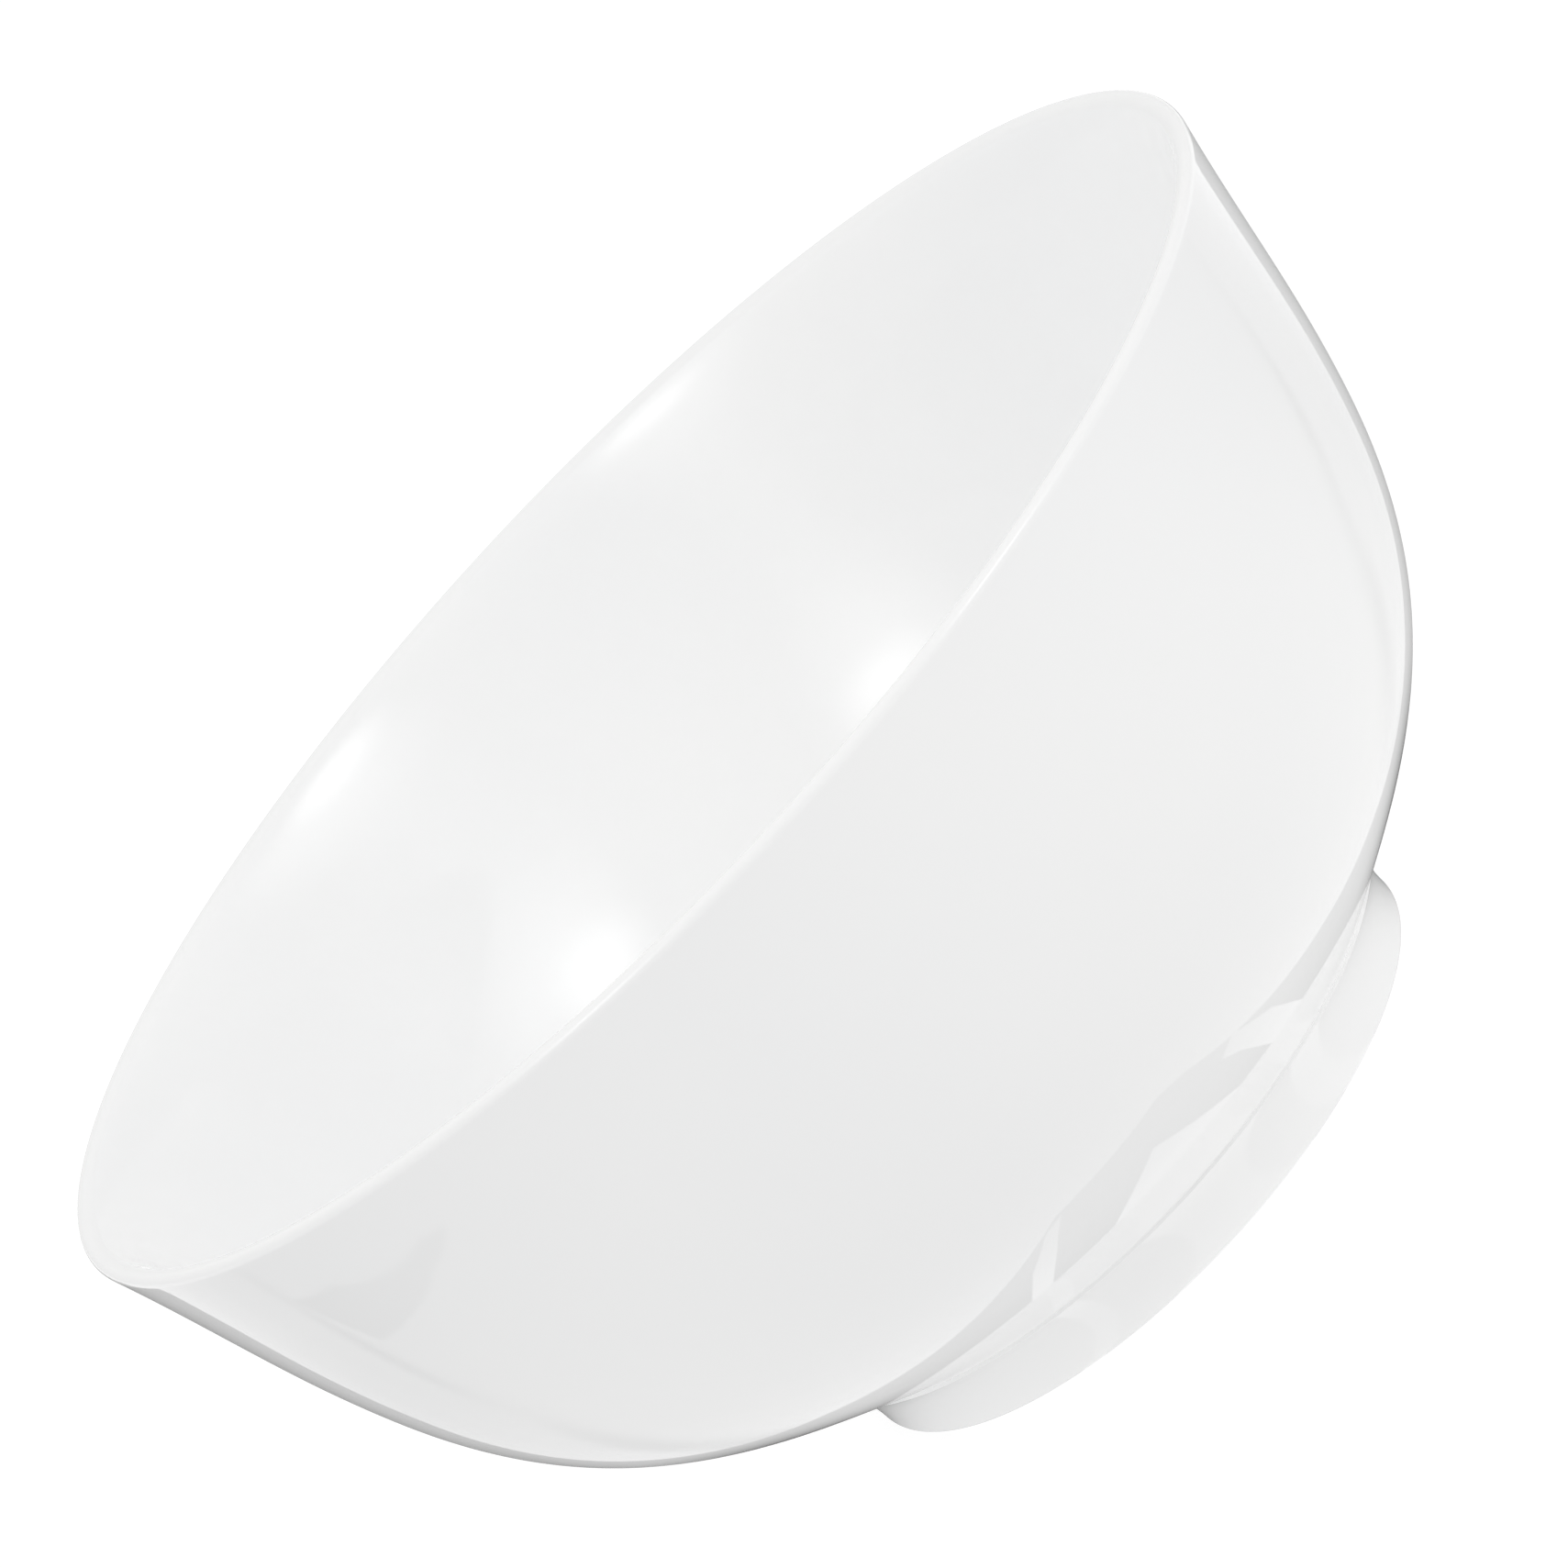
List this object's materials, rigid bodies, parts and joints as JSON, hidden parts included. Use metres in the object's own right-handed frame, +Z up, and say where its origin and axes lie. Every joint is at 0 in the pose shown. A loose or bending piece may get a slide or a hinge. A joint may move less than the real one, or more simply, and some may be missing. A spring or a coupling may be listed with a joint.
{
  "type": "salad bowl",
  "caption": "Round open serving bowl of white glazed porcelain with a thin rounded lip, a leaning wall, a tight belly, a conical underside and a low foot ring.",
  "frame": {"origin": "centre of the standing face, on the surface that the bowl rests on", "axes": "+Z up along the bowl's axis; the bowl is round, so X and Y are free"},
  "size_m": [0.21, 0.21, 0.1006],
  "materials": {
    "glaze": "white porcelain under a clear gloss glaze",
    "bare_clay": "unglazed fired porcelain, matt"
  },
  "bodies": {
    "root": {"bowl_body": "glaze", "foot_ring": "glaze", "luting_slip": "bare_clay"}
  },
  "joints": []
}
